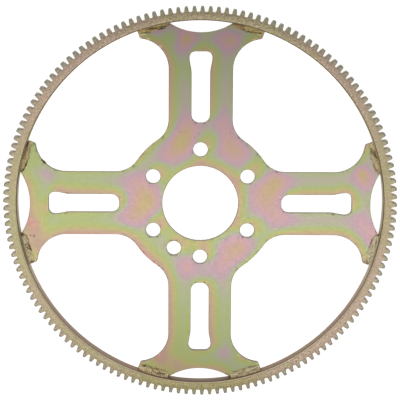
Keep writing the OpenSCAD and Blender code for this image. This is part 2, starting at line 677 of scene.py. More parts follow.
@dataclass(frozen=True)
class PlateFinish:
    """Yellow plating on the smooth rolled plate: film colours that follow the plate's outline, with a
    painted highlight on the edges that face +Y.
    """

    effects: Effects
    wall: Colour = srgb(58, 46, 36)
    edge: Colour = srgb(150, 126, 100)
    # Painted highlight: pale colour for the rounded edges that face +Y, in place of the light that they
    # catch
    edge_highlight_paint: Colour = srgb(248, 238, 196)
    edge_highlight_lean: Pair = (0.1, 0.5)
    dull: Colour = srgb(150, 140, 110)
    dull_share: Pair = (0.025, 0.075)
    freckle: Colour = srgb(140, 92, 66)
    freckle_share: float = 0.55
    freckles: Spots = (
        (-18.3, 61.0, 0.5), (-15.8, 60.2, 0.7), (-12.9, 60.6, 0.5), (-1.3, 58.6, 0.6), (-4.6, 56.0, 0.5),
        (24.0, 62.0, 0.5), (24.8, 59.5, 0.6), (27.7, 58.7, 0.5), (26.1, 56.6, 0.5),
    )
    drift_scale: float = 28.0
    drift: float = 0.03
    grain_scale: float = 450.0
    metallic: float = 0.85
    roughness: Pair = (0.30, 0.38)
    bump: float = 0.04
    bump_depth: float = 0.1 * MM

    def build(self) -> Material:
        """Make the material.

        Returns:
            The material.
        """
        material, sheet, shader = new_material("plate_plating")
        place, normal = sheet.place(), sheet.normal()
        drift = sheet.math("SUBTRACT", sheet.noise(place, self.drift_scale), 0.5)
        film = sheet.math("MULTIPLY_ADD", drift, self.drift, sheet.attribute("film"))
        colour = sheet.use(self.effects.film, Film=film)["Color"]
        masks = sheet.use(self.effects.edges, Normal=normal)
        grain = sheet.use(self.effects.grain, Vector=place, Scale=self.grain_scale)
        colour = sheet.mix(sheet.ease(grain["Mottle"], *MOST, *self.dull_share), colour, self.dull)
        colour = sheet.dots(place, colour, self.freckles, self.freckle, self.freckle_share)
        # Paint a highlight on the rounded edges: the more an edge faces +Y, the paler it gets
        edge_highlight_share = sheet.ease(sheet.parts(normal)[1], *self.edge_highlight_lean)
        colour = sheet.mix(masks["Edge"], colour, sheet.mix(edge_highlight_share, self.edge, self.edge_highlight_paint))
        sheet.feed(shader, {
            "Base Color": sheet.mix(masks["Wall"], colour, self.wall),
            "Metallic": self.metallic,
            "Roughness": sheet.ease(grain["Mottle"], *NEARLY_ALL, *self.roughness),
            "Normal": sheet.bump(grain["Height"], self.bump, self.bump_depth),
        })
        return material


@dataclass(frozen=True)
class RingFinish:
    """Duller plating on the machined ring: khaki, pinker between the arms, with dark specks, and with
    painted shade and highlights where its walls and bore chamfer face +Y.
    """

    effects: Effects
    pink_film: float = 0.34
    khaki_film: float = 0.53
    khaki_side: float = math.radians(228.0)
    khaki_shares: Pair = (0.6, 0.3)
    quarter_share: Pair = (-0.45, 0.1)
    patches: tuple[Pair, ...] = ((24.0, 3.0), (90.0, 3.0))
    film_range: Pair = (-1.2, 0.8)
    dull: Colour = srgb(198, 188, 168)
    dull_share: float = 0.30
    blush: Colour = srgb(232, 200, 184)
    blush_share: float = 0.3
    blush_range: Pair = (-1.2, 0.0)
    foot: Colour = srgb(158, 146, 66)
    foot_share: float = 0.3
    foot_range: Pair = (-0.98, -0.9)
    # Dark colour of the specks and darker patches, also used for the painted shade line by the bore
    speck_and_shade: Colour = srgb(120, 108, 88)
    speck_share: float = 0.5
    speckle: float = 0.12
    # Share of darker mottled patches, which changes with the angle around the ring
    side_darkening: Pair = (0.55, 0.02)
    bright_side: float = math.radians(235.0)
    bright_shares: Pair = (0.6, 0.85)
    bright_range: Pair = (-1.2, 1.4)
    pit: Colour = srgb(52, 40, 26)
    pit_share: float = 0.85
    pits: Spots = ((1.9, -156.2, 0.6), (-25.0, 153.8, 0.5), (-11.2, 156.3, 0.4))
    # Painted shade: a thin dark line just outside the bore's chamfer, on the lower half of the ring only,
    # beside the painted highlight
    shade_line_radius: float = 154.0 * MM
    shade_line_reach: float = 0.45 * MM
    shade_line_share: float = 0.4
    shade_line_below: Pair = (-50.0 * MM, 20.0 * MM)
    teeth: Pair = (159.0 * MM, 161.5 * MM)
    tooth: Colour = srgb(180, 188, 160)
    warm_tooth: Colour = srgb(202, 182, 168)
    warm_scale: float = 110.0
    warm_patches: Pair = (-1.2, 1.2)
    warm_range: Pair = (-0.6, 1.8)
    tooth_share: float = 0.65
    flank: Colour = srgb(160, 144, 120)
    lead_in: Colour = srgb(152, 151, 138)
    wall: Colour = srgb(184, 164, 128)
    # Painted shade: a darker copy of the wall colour for the walls and the inner chamfer that face +Y
    shaded_wall_paint: Colour = srgb(132, 105, 80)
    bore_edge: Colour = srgb(128, 117, 96)
    # Painted highlight: near-white colour on the outer part of the bore's chamfer where it faces +Y
    bore_edge_highlight_paint: Colour = srgb(255, 240, 210)
    # How far a face must turn towards +Y to take the painted shade and highlight colours
    painted_light_lean: Pair = (0.15, 0.65)
    bright_from: Pair = (152.6 * MM, 152.9 * MM)
    grain_scale: float = 700.0
    metallic: Pair = (0.75, 0.0)
    specular: Pair = (0.5, 0.1)
    roughness: Pair = (0.32, 0.44)
    bump: float = 0.10
    bump_depth: float = 0.1 * MM

    def build(self) -> Material:
        """Make the material.

        Returns:
            The material.
        """
        material, sheet, shader = new_material("ring_plating")
        place, normal = sheet.place(), sheet.normal()
        across, along, _ = sheet.parts(place)
        angle = sheet.math("ARCTAN2", along, across)
        radius = sheet.away(place)
        outer = sheet.ease(radius, *self.teeth)
        # Share of each face turned towards +Y; it takes the painted shade and highlight colours
        low = sheet.ease(sheet.parts(normal)[1], *self.painted_light_lean)
        masks = sheet.use(self.effects.edges, Normal=normal)
        grain = sheet.use(self.effects.grain, Vector=place, Scale=self.grain_scale)
        colour = self.speckle_and_darken(sheet, self.plating(sheet, place, angle), angle, grain)
        colour = sheet.dots(place, colour, self.pits, self.pit, self.pit_share)
        # Paint a thin line of shade just outside the bore, fading out towards the upper half
        off = sheet.math("ABSOLUTE", sheet.math("SUBTRACT", radius, self.shade_line_radius))
        below = sheet.ease(along, *self.shade_line_below, self.shade_line_share, 0.0)
        shade_line = sheet.math("MULTIPLY", sheet.ease(off, 0.0, self.shade_line_reach, 1.0, 0.0), below)
        colour = sheet.mix(shade_line, colour, self.speck_and_shade)
        colour = sheet.mix(sheet.math("MULTIPLY", outer, self.tooth_share), colour,
                           self.teeth_tint(sheet, place, angle))
        # Painted highlight on the bore's chamfer where it faces +Y: near-white further out, the painted
        # shade colour nearer the bore
        glint = sheet.mix(sheet.ease(radius, *self.bright_from), self.shaded_wall_paint, self.bore_edge_highlight_paint)
        edge = sheet.mix(outer, sheet.mix(low, self.bore_edge, glint), self.lead_in)
        # Walls that face +Y take the painted shade colour; the teeth's flanks keep their own colour
        wall = sheet.mix(outer, sheet.mix(low, self.wall, self.shaded_wall_paint), self.flank)
        sheet.feed(shader, {
            "Base Color": sheet.mix(masks["Wall"], sheet.mix(masks["Edge"], colour, edge), wall),
            "Metallic": sheet.ease(masks["Wall"], 0.0, 1.0, *self.metallic),
            "Specular IOR Level": sheet.ease(masks["Wall"], 0.0, 1.0, *self.specular),
            "Roughness": sheet.ease(grain["Mottle"], *NEARLY_ALL, *self.roughness),
            "Normal": sheet.bump(grain["Height"], self.bump, self.bump_depth),
        })
        return material

    def plating(self, sheet: Sheet, place: NodeSocket, angle: NodeSocket) -> NodeSocket:
        """Colour the ring's face by its film, khaki at the arms and on one side, else pink.

        Args:
            sheet: The material's sheet.
            place: The place's socket.
            angle: The socket of the angle around the ring.

        Returns:
            The colour's socket.
        """
        at_arms, at_side = self.khaki_shares
        share = sheet.math("MULTIPLY", sheet.wave(angle, 4.0), at_arms)
        share = sheet.math("MULTIPLY_ADD", sheet.wave(angle, 1.0, self.khaki_side), at_side, share)
        quarters = sheet.wave(angle, 2.0, math.radians(45.0))
        share = sheet.math("ADD", share, sheet.ease(quarters, -1.0, 1.0, *self.quarter_share))
        for scale, amount in self.patches:
            patch = sheet.math("SUBTRACT", sheet.noise(place, scale, 5.0, 0.65), 0.5)
            share = sheet.math("MULTIPLY_ADD", patch, amount, share)
        film = sheet.ease(share, *self.film_range, self.pink_film, self.khaki_film)
        colour = sheet.use(self.effects.film, Film=film)["Color"]
        colour = sheet.mix(self.dull_share, colour, self.dull)
        blush = sheet.ease(share, *self.blush_range, self.blush_share, 0.0)
        height = sheet.wave(angle, 1.0, math.radians(90.0))
        foot = sheet.ease(height, *self.foot_range, self.foot_share, 0.0)
        return sheet.mix(foot, sheet.mix(blush, colour, self.blush), self.foot)

    def speckle_and_darken(self, sheet: Sheet, colour: NodeSocket, angle: NodeSocket,
             grain: dict[str, NodeSocket]) -> NodeSocket:
        """Speckle a colour and darken it in mottled patches, whose share changes around the ring and is
        least towards one side.

        Args:
            sheet: The material's sheet.
            colour: The colour's socket.
            angle: The socket of the angle around the ring.
            grain: The outputs of the steel's grain.

        Returns:
            The speckled and darkened colour's socket.
        """
        fine = sheet.ease(grain["Mottle"], 0.25, 0.75, 1 + self.speckle, 1 - self.speckle)
        colour = sheet.mix(1.0, colour, fine, "MULTIPLY")
        by_side, by_pair = self.bright_shares
        side_brightness = sheet.math("MULTIPLY", sheet.wave(angle, 2.0), by_pair)
        side_brightness = sheet.math("MULTIPLY_ADD", sheet.wave(angle, 1.0, self.bright_side), by_side, side_brightness)
        side_darkening = sheet.ease(side_brightness, *self.bright_range, *self.side_darkening)
        side_darkening = sheet.math("MULTIPLY", sheet.ease(grain["Mottle"], *MOST), side_darkening)
        colour = sheet.mix(side_darkening, colour, self.speck_and_shade)
        return sheet.mix(sheet.math("MULTIPLY", grain["Specks"], self.speck_share), colour, self.speck_and_shade)

    def teeth_tint(self, sheet: Sheet, place: NodeSocket, angle: NodeSocket) -> NodeSocket:
        """Colour the teeth, warmer on the khaki side and by patches.

        Args:
            sheet: The material's sheet.
            place: The place's socket.
            angle: The socket of the angle around the ring.

        Returns:
            The colour's socket.
        """
        own = sheet.ease(sheet.noise(place, self.warm_scale), *MOST, *self.warm_patches)
        warmth = sheet.math("ADD", sheet.wave(angle, 1.0, self.khaki_side), own)
        return sheet.mix(sheet.ease(warmth, *self.warm_range), self.tooth, self.warm_tooth)


@dataclass(frozen=True)
class WeldFinish:
    """Plated weld metal: khaki, with painted shade in its creases and with streaks that each bead keeps for
    itself.
    """

    effects: Effects
    khaki: Colour = srgb(246, 224, 174)
    olive: Colour = srgb(228, 204, 150)
    patch_scale: float = 260.0
    patch_edge: Pair = (0.35, 0.65)
    # Painted shade: dark colour laid where the bead's skin sinks below its smoothed shape
    crease: Colour = srgb(128, 106, 68)
    hollow_shade_share: float = 0.7
    hollow_shade_depths: Pair = (0.12, 0.38)
    # Streak colours; the dark one also serves as painted shade and the pale one as painted highlight
    stains_and_light: tuple[tuple[StainAndPaintedLight, Colour], ...] = (
        (StainAndPaintedLight.OLIVE, srgb(206, 184, 106)),
        (StainAndPaintedLight.PALE_AND_HIGHLIGHT, srgb(250, 240, 202)),
        (StainAndPaintedLight.RUST, srgb(150, 104, 76)),
        (StainAndPaintedLight.DARK, srgb(74, 56, 32)),
    )
    raggedness: Pair = (0.6, 1.4)
    grain_scale: float = 700.0
    metallic: float = 0.15
    roughness: Pair = (0.36, 0.51)
    bump: float = 0.2
    bump_depth: float = 0.2 * MM

    def build(self) -> Material:
        """Make the material.

        Returns:
            The material.
        """
        material, sheet, shader = new_material("weld_plating")
        place = sheet.place()
        grain = sheet.use(self.effects.grain, Vector=place, Scale=self.grain_scale)
        patch = sheet.noise(place, self.patch_scale, 3.0, 0.6)
        colour = sheet.mix(sheet.ease(patch, *self.patch_edge), self.olive, self.khaki)
        # Paint shade into the hollows that the relief attribute marks
        crease = sheet.ease(sheet.attribute("relief"), *self.hollow_shade_depths, self.hollow_shade_share, 0.0)
        colour = sheet.mix(crease, colour, self.crease)
        ragged = sheet.ease(grain["Mottle"], *MOST, *self.raggedness)
        # Lay the streak colours: the bead's own discolouring, painted shade and painted highlights alike
        for stain_and_light, tint in self.stains_and_light:
            share = sheet.math("MULTIPLY", sheet.attribute(stain_and_light.value), ragged, clamp=True)
            colour = sheet.mix(share, colour, tint)
        sheet.feed(shader, {
            "Base Color": colour,
            "Metallic": self.metallic,
            "Roughness": sheet.ease(grain["Mottle"], *NEARLY_ALL, *self.roughness),
            "Normal": sheet.bump(grain["Height"], self.bump, self.bump_depth),
        })
        return material


@dataclass(frozen=True)
class FloorFinish:
    """Pale seamless paper that glows a little, so that shadows on it stay faint."""

    paper: Colour = (0.92, 0.92, 0.92, 1.0)
    fibre: Colour = (0.85, 0.85, 0.85, 1.0)
    fibre_share: Pair = (0.0, 0.02)
    fibre_scale: float = 400.0
    glow: float = 0.9
    roughness: float = 0.9

    def build(self) -> Material:
        """Make the material.

        Returns:
            The material.
        """
        material, sheet, shader = new_material("floor_paper")
        pattern = sheet.noise(sheet.place(), self.fibre_scale)
        colour = sheet.mix(sheet.ease(pattern, *MOST, *self.fibre_share), self.paper, self.fibre)
        sheet.feed(shader, {"Base Color": colour, "Emission Color": colour, "Emission Strength": self.glow,
                            "Roughness": self.roughness, "Specular IOR Level": 0.0})
        return material


# Pieces


@dataclass(frozen=True)
class FilmMark:
    """A place where the film dried thinner or thicker than its surroundings, in millimetres."""

    x: float
    y: float
    reach: float
    lift: float

    def over(self, place: np.ndarray) -> np.ndarray:
        """Return the change of the film at places in metres, one row each."""
        away = np.hypot(place[:, 0] / MM - self.x, place[:, 1] / MM - self.y)
        return self.lift * np.exp(-0.5 * (away / self.reach) ** 2)


@dataclass
class CenterPlate:
    """The flat plate with its hub, arms, horns, slots and holes."""

    finish: PlateFinish
    node: str = "center_plate"
    edge_round: float = 0.35 * MM
    sharp: float = 40.0
    smooth: float = 18.0
    seat: float = 152.4 * MM
    cell: float = 2.0 * MM
    film_blurs: tuple[Pair, ...] = ((8.5 * MM, 0.78), (1.8 * MM, 0.22))
    film_shift: Pair = (-3.6 * MM, -3.4 * MM)
    film_slope: Pair = (0.50, 0.58)
    film_bend: Triple = (-4.7, -7.1, -5.3)
    film_marks: tuple[FilmMark, ...] = (
        # Hub and the arms beside it
        FilmMark(8, 55, 6.5, -0.24), FilmMark(0, 35, 3.5, -0.20), FilmMark(47, 31, 6, -0.25),
        FilmMark(31, 20, 3.5, -0.18), FilmMark(-32, 27, 5, -0.18), FilmMark(-33, -15, 5, -0.24),
        FilmMark(-22, -30, 4, -0.12), FilmMark(3, -36, 5, -0.22), FilmMark(12, -43, 4, -0.07),
        FilmMark(-11, -36, 4.5, -0.14), FilmMark(48, -20, 6, -0.20), FilmMark(31, -17, 4, -0.22),
        FilmMark(54, -7, 9, -0.05), FilmMark(-40, 0, 9, 0.08), FilmMark(-60, -13, 10, 0.08),
        FilmMark(66, 20, 7, 0.06), FilmMark(40, -46, 9, 0.10), FilmMark(-12, 58, 9, 0.04),
        FilmMark(-26, -62, 8, 0.07), FilmMark(4, -64, 4, 0.08), FilmMark(74, -20, 7, 0.05),
        FilmMark(-66, 2, 4, -0.10), FilmMark(-12, -54, 5, 0.06), FilmMark(-17, 52, 5, 0.05),
        # Upper arm
        FilmMark(-12, 113, 7, -0.08), FilmMark(-26, 126, 6, 0.06), FilmMark(-43, 138, 7, 0.22),
        FilmMark(-24, 140, 6, -0.07), FilmMark(-8, 139, 6, 0.11), FilmMark(0, 131, 5, -0.08),
        FilmMark(17, 139, 6, 0.06), FilmMark(32, 132, 6, 0.10), FilmMark(29, 146, 4, -0.08),
        FilmMark(46, 139, 7, 0.10), FilmMark(-25, 138, 4, -0.13), FilmMark(-12.5, 136, 4, 0.06),
        FilmMark(25, 136, 3, 0.05), FilmMark(39, 139, 4, -0.12),
        # Right arm
        FilmMark(133, 30, 5, 0.12), FilmMark(140, 18, 5, 0.10), FilmMark(143, 31, 4, -0.07),
        FilmMark(121, 12, 4, -0.10), FilmMark(131, 0, 4, -0.08), FilmMark(136, -34, 8, 0.11),
        FilmMark(135.5, 25, 3, 0.07), FilmMark(137, 44, 5, 0.12), FilmMark(137, -44, 5, 0.12),
        # Left arm
        FilmMark(-118, 13, 4, -0.13), FilmMark(-139, 12, 8, 0.08), FilmMark(-130, -4, 4, -0.12),
        FilmMark(-138, -19, 6.5, -0.25), FilmMark(-134, -30, 5, -0.12), FilmMark(-140, -46, 6, 0.14),
        FilmMark(-138, -37, 5, -0.26), FilmMark(-141, -27, 5, -0.24), FilmMark(-140, -17, 4, -0.22),
        FilmMark(-140, 35, 5, -0.14), FilmMark(-127, 24, 4, 0.05), FilmMark(-136, 16, 5, -0.08),
        FilmMark(-129.5, -5, 3.5, -0.12),
        # Lower arm
        FilmMark(-18, -86, 10, 0.06), FilmMark(-25, -106, 7, 0.07), FilmMark(-14, -127, 5, -0.08),
        FilmMark(-30, -133, 6, -0.16), FilmMark(-20, -139, 5, -0.07), FilmMark(-43, -139, 6, 0.18),
        FilmMark(4, -141, 5, 0.14), FilmMark(19, -129, 5.5, 0.08), FilmMark(35, -141, 4, 0.05),
        FilmMark(37, -133, 4.5, -0.24), FilmMark(-33, -135, 5, -0.26), FilmMark(-19, -139, 3.5, -0.24),
        FilmMark(3, -134, 4, 0.06), FilmMark(0, -128, 3, -0.12), FilmMark(12, -121, 3.5, -0.12),
        FilmMark(22, -77, 5, 0.04), FilmMark(19.5, -106, 4, 0.04),
    )

    def build(self) -> Object:
        """Copy the plate, round its edges and cut its faces into a fine grid.

        Returns:
            The finished plate.
        """
        plate = merged_copy(self.node, "plate")
        round_edges(plate, self.edge_round, self.sharp)
        low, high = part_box(self.node)
        with edit_mode(plate):
            for axis in (0, 1):
                direction = Vector((1.0 - axis, axis, 0.0))
                for line in range(math.ceil(low[axis] / self.cell), math.floor(high[axis] / self.cell) + 1):
                    bpy.ops.mesh.select_all(action="SELECT")
                    bpy.ops.mesh.bisect(plane_co=line * self.cell * direction, plane_no=direction)
        store(plate, "film", self.film(plate))
        smooth_shading(plate, self.smooth)
        return plate

    def coverage(self, plate: Object, half: int) -> np.ndarray:
        """Work out how much of each cell of a square grid the front of plate and ring covers.

        Args:
            plate: The plate, cut into the grid.
            half: Half of the number of cells along a side.

        Returns:
            The share of each cell, 0 to 1.
        """
        faces = plate.data.polygons
        seen = read(faces, "area", 1)[:, 0] * np.maximum(read(faces, "normal", 3)[:, 2], 0.0)
        middles = (np.arange(2 * half) - half + 0.5) * self.cell
        radii = np.hypot(*np.meshgrid(middles, middles))
        cover = ((radii > self.seat) & (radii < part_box("ring_gear")[1].x)).astype(float)
        cells = np.floor(read(faces, "center", 3)[:, :2] / self.cell).astype(int) + half
        np.add.at(cover, (cells[:, 0], cells[:, 1]), seen / self.cell ** 2)
        return np.minimum(cover, 1.0)

    def film(self, plate: Object) -> np.ndarray:
        """Work out how thick the plating film dried at each vertex.

        The film is thick in broad areas and thin near edges, more so near the edges that hung lowest.

        Args:
            plate: The plate, cut into the grid.

        Returns:
            The film's thickness for each vertex, about 0.2 to 1.1.
        """
        margin = math.ceil(4 * max(blur for blur, _ in self.film_blurs) / self.cell)
        half = math.ceil(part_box("ring_gear")[1].x / self.cell) + margin
        cover = self.coverage(plate, half)
        blurred = np.zeros_like(cover)
        for blur, weight in self.film_blurs:
            bell = np.exp(-0.5 * (np.arange(-margin, margin + 1) * self.cell / blur) ** 2)
            layer = cover
            for axis in (0, 1):
                layer = np.apply_along_axis(np.convolve, axis, layer, bell / bell.sum(), "same")
            blurred += weight * layer
        place = points(plate)[:, :2]
        spot = (place + self.film_shift) / self.cell + half - 0.5
        base = np.floor(spot).astype(int)
        share = spot - base
        film = place @ np.array(self.film_slope)
        for step_x in (0, 1):
            for step_y in (0, 1):
                weight = np.abs(1 - step_x - share[:, 0]) * np.abs(1 - step_y - share[:, 1])
                film += weight * blurred[base[:, 0] + step_x, base[:, 1] + step_y]
        x, y = place.T
        bend_x, bend_xy, bend_y = self.film_bend
        film += bend_x * x ** 2 + bend_xy * x * y + bend_y * y ** 2
        return film + sum(mark.over(place) for mark in self.film_marks)

    def dress(self, plate: Object) -> None:
        """Give the plate its finish and enlist it."""
        enlist(plate, self.node, self.finish.build())


@dataclass
class RingGear:
    """The toothed starter ring, modelled as one tooth with its piece of rim and spun around."""

    finish: RingFinish
    node: str = "ring_gear"
    teeth: int = 153
    first_tooth: float = 0.2
    pressure_angle: float = 11.0
    backlash: float = 0.25 * MM
    tooth_depth: float = 4.932 * MM
    addendum: float = 2.117 * MM
    rim: float = 6.75 * MM
    lead_in: Pair = (1.4 * MM, 1.4 * MM)
    edge: float = 0.8 * MM
    edge_round: float = 0.18 * MM
    root_round: float = 0.45 * MM
    slack: float = 0.05 * MM
    merge: float = 0.01 * MM
    sharp: float = 25.0
    smooth: float = 18.0

    def __post_init__(self) -> None:
        """Read the tip radius and the width from the node and work out the other radii."""
        places = points(frame["nodes"][self.node])
        self.tip = float(np.hypot(places[:, 0], places[:, 1]).max())
        self.width = float(places[:, 2].max())
        self.root = self.tip - self.tooth_depth
        self.bore = self.root - self.rim

    def half_width(self, radius: float) -> float:
        """Work out half of a tooth's width, on an involute flank.

        Args:
            radius: Distance from the ring's center.

        Returns:
            Half of the width there.
        """
        def involute(angle: float) -> float:
            """Return the involute function of an angle in radians."""
            return math.tan(angle) - angle

        pitch = self.tip - self.addendum
        slope = math.radians(self.pressure_angle)
        here = math.acos(min(1.0, pitch * math.cos(slope) / radius))
        half_angle = math.pi / 2 / self.teeth - self.backlash / 2 / pitch
        return radius * (half_angle + involute(slope) - involute(here))

    def build(self) -> Object:
        """Model one tooth with its piece of rim, spin it around and close the ring.

        Returns:
            The finished ring.
        """
        half_pitch = math.pi / self.teeth
        deselect()
        middle = ((self.bore + self.root) / 2, 0.0, self.width / 2)
        bpy.ops.mesh.primitive_cube_add(size=1.0, location=middle)
        ring = bpy.context.active_object
        ring.name = "ring"
        ring.scale = (self.rim, 3 * self.root * half_pitch, self.width)
        bpy.ops.object.transform_apply(location=True, rotation=False, scale=True)
        with edit_mode(ring, "EDGE"):
            self.split_rim(half_pitch)
            self.raise_tooth(ring)
            self.break_edges(ring)
            bpy.ops.mesh.select_all(action="SELECT")
            bpy.ops.transform.rotate(value=-math.radians(self.first_tooth), orient_axis="Z",
                                     center_override=(0.0, 0.0, 0.0))
            bpy.ops.mesh.spin(steps=self.teeth - 1, dupli=True, angle=2 * half_pitch * (self.teeth - 1),
                              center=(0.0, 0.0, 0.0), axis=(0.0, 0.0, 1.0))
            bpy.ops.mesh.select_all(action="SELECT")
            bpy.ops.mesh.remove_doubles(threshold=self.merge)
            bpy.ops.mesh.normals_make_consistent(inside=False)
        smooth_shading(ring, self.smooth)
        return ring

    def split_rim(self, half_pitch: float) -> None:
        """Trim the block to one pitch, open at its sides, and mark where the tooth stands.

        Args:
            half_pitch: Half of the angle between two teeth, in radians.
        """
        for side in (1, -1):
            radial = (-math.sin(half_pitch), side * math.cos(half_pitch), 0.0)
            bpy.ops.mesh.select_all(action="SELECT")
            bpy.ops.mesh.bisect(plane_co=(0.0, 0.0, 0.0), plane_no=radial, clear_outer=True)
        for side in (1, -1):
            foot = (0.0, side * self.half_width(self.root), 0.0)
            bpy.ops.mesh.select_all(action="SELECT")
            bpy.ops.mesh.bisect(plane_co=foot, plane_no=(0.0, 1.0, 0.0))

    def raise_tooth(self, ring: Object) -> None:
        """Extrude the tooth in two steps that narrow as the involute does, then lean back its tips.

        Args:
            ring: The piece of rim, in edit mode.
        """
        below = self.half_width(self.root)
        step = self.tooth_depth / 2
        middle = self.root + step
        pick_faces(ring, lambda face: face.normal.x > 0.9 and abs(face.center.y) < below)
        for radius in (middle, self.tip):
            bpy.ops.mesh.extrude_region_move(TRANSFORM_OT_translate={"value": (step, 0.0, 0.0)})
            width = self.half_width(radius)
            bpy.ops.transform.resize(value=(1.0, width / below, 1.0), center_override=(radius, 0.0, 0.0))
            below = width
        reach, depth = self.lead_in
        for tip_z, cut_z, back in ((self.width, self.width - depth, reach), (0.0, self.edge, self.edge)):
            pick_faces(ring, lambda face: face.center.x > middle)
            bpy.ops.mesh.bisect(plane_co=(0.0, 0.0, cut_z), plane_no=(0.0, 0.0, 1.0))
            pick_edges(ring, lambda first, second: min(first.x, second.x) > self.tip - self.slack
                       and max(abs(first.z - tip_z), abs(second.z - tip_z)) < self.slack)
            bpy.ops.transform.translate(value=(-back, 0.0, 0.0))
            narrow = self.half_width(self.tip - back) / below
            bpy.ops.transform.resize(value=(1.0, narrow, 1.0), center_override=(self.tip, 0.0, 0.0))

    def break_edges(self, ring: Object) -> None:
        """Chamfer the bore's edges, round the roots and take the burr off every other sharp edge.

        Args:
            ring: The piece of rim with its tooth, in edit mode.
        """
        def at_bore(first: Vector, second: Vector) -> bool:
            """Tell the edges that run along the bore's two ends."""
            flat = abs(first.z - second.z) < self.slack
            return flat and max(first.x, second.x) < self.bore + self.slack

        def at_root(first: Vector, second: Vector) -> bool:
            """Tell the two upright edges between a tooth's flanks and the rim."""
            off = max(abs(first.x - self.root), abs(abs(first.y) - self.half_width(self.root)))
            return off < self.slack and abs(first.z - second.z) > self.width / 2

        pick_edges(ring, at_bore)
        bpy.ops.mesh.bevel(offset_type="OFFSET", offset=self.edge, segments=1, affect="EDGES")
        pick_edges(ring, at_root)
        bpy.ops.mesh.bevel(offset_type="OFFSET", offset=self.root_round, segments=3, affect="EDGES")
        bpy.ops.mesh.select_all(action="DESELECT")
        bpy.ops.mesh.edges_select_sharp(sharpness=math.radians(self.sharp))
        bpy.ops.mesh.bevel(offset_type="OFFSET", offset=self.edge_round, segments=2, affect="EDGES")

    def dress(self, ring: Object) -> None:
        """Give the ring its finish and enlist it."""
        enlist(ring, self.node, self.finish.build())


@dataclass(frozen=True)
class Streak:
    """A streak of colour on a bead, in millimetres along it from the relief and across it from the ring:
    discolouring, painted shade or a painted highlight.
    """

    stain_and_light: StainAndPaintedLight
    start: Pair
    end: Pair
    width: float
    strength: float = 0.9

    def over(self, along: np.ndarray, across: np.ndarray) -> np.ndarray:
        """Return how much of the stain lies at each place of a bead.

        Args:
            along: Distances along the bead, in millimetres.
            across: Distances from the ring's wall, in millimetres.

        Returns:
            One share for each place.
        """
        place = np.stack((along, across), axis=1)
        start, run = np.array(self.start), np.subtract(self.end, self.start)
        share = np.clip((place - start) @ run / max(run @ run, 1e-9), 0.0, 1.0)
        away = np.linalg.norm(place - start - share[:, None] * run, axis=1)
        return self.strength * np.exp(-0.5 * (away / self.width) ** 2)


def wash(stain_and_light: StainAndPaintedLight, strength: float) -> Streak:
    """Return a streak so wide that it tints a whole bead."""
    return Streak(stain_and_light, (0, 3), (26, 3), 5.0, strength)


@dataclass(frozen=True)
class Spatter:
    """A droplet of weld metal beside a bead, given in millimetres on the plate, its radius and its colour.
    """

    x: float
    y: float
    radius: float
    stain_and_light: StainAndPaintedLight

    def over(self, places: np.ndarray) -> np.ndarray:
        """Return 1 for each place that lies on the droplet, else 0."""
        away = np.hypot(places[:, 0] / MM - self.x, places[:, 1] / MM - self.y)
        return (away < 1.05 * self.radius).astype(float)


